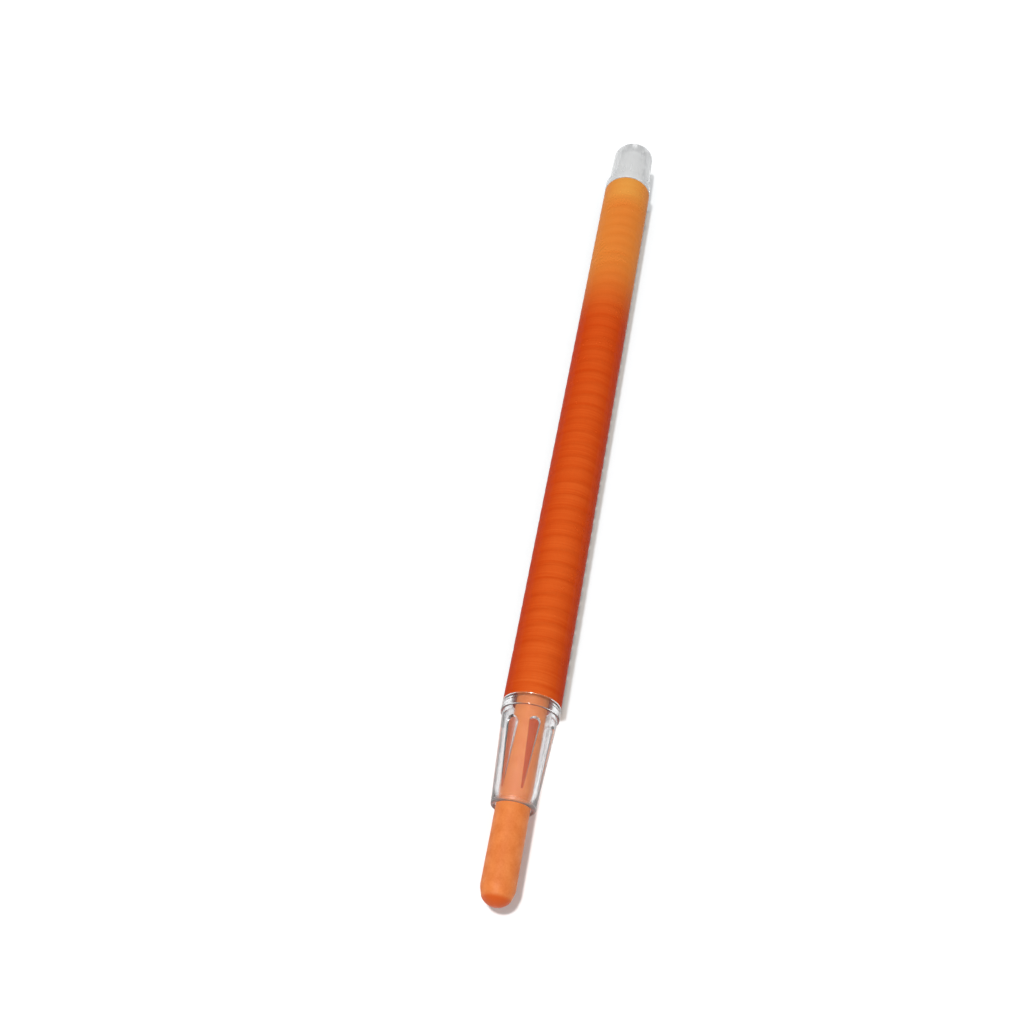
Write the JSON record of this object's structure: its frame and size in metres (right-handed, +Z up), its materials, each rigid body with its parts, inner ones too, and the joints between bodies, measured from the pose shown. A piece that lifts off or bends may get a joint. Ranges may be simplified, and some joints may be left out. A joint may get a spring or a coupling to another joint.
{
  "type": "twist crayon",
  "caption": "Twist-up wax crayon: tinted barrel with an inner spiral, clear ribbed nose and clear knob; turning the knob feeds the crayon out of the nose.",
  "frame": {"origin": "centre of the lying crayon's outline on the surface that it lies on", "axes": "+X along the crayon towards its tip, +Z up"},
  "size_m": [0.1622, 0.0094, 0.0094],
  "materials": {
    "barrel": "glossy see-through orange",
    "nose": "clear",
    "knob": "clear",
    "guide": "milky see-through",
    "holder": "matte white",
    "wax": "matte wax"
  },
  "bodies": {
    "barrel_body": {"barrel": "barrel", "nose_cone": "nose"},
    "knob_body": {"twist_knob": "knob", "guide_tube": "guide"},
    "carriage": {"crayon_holder": "holder", "crayon_stick": "wax"}
  },
  "joints": [
    {"name": "knob_twist", "type": "hinge", "parent": "barrel_body", "child": "knob_body", "pos_m": [-0.06882, 0, 0.0047], "axis": [1, 0, 0], "range_deg": [-2160, 10080]},
    {"name": "crayon_feed", "type": "slide", "parent": "knob_body", "child": "carriage", "axis": [1, 0, 0], "range_m": [-0.0168, 0.0784]}
  ],
  "couplings": [
    {"joint": "knob_twist", "follows": "crayon_feed", "rad_per_m": 2244}
  ]
}
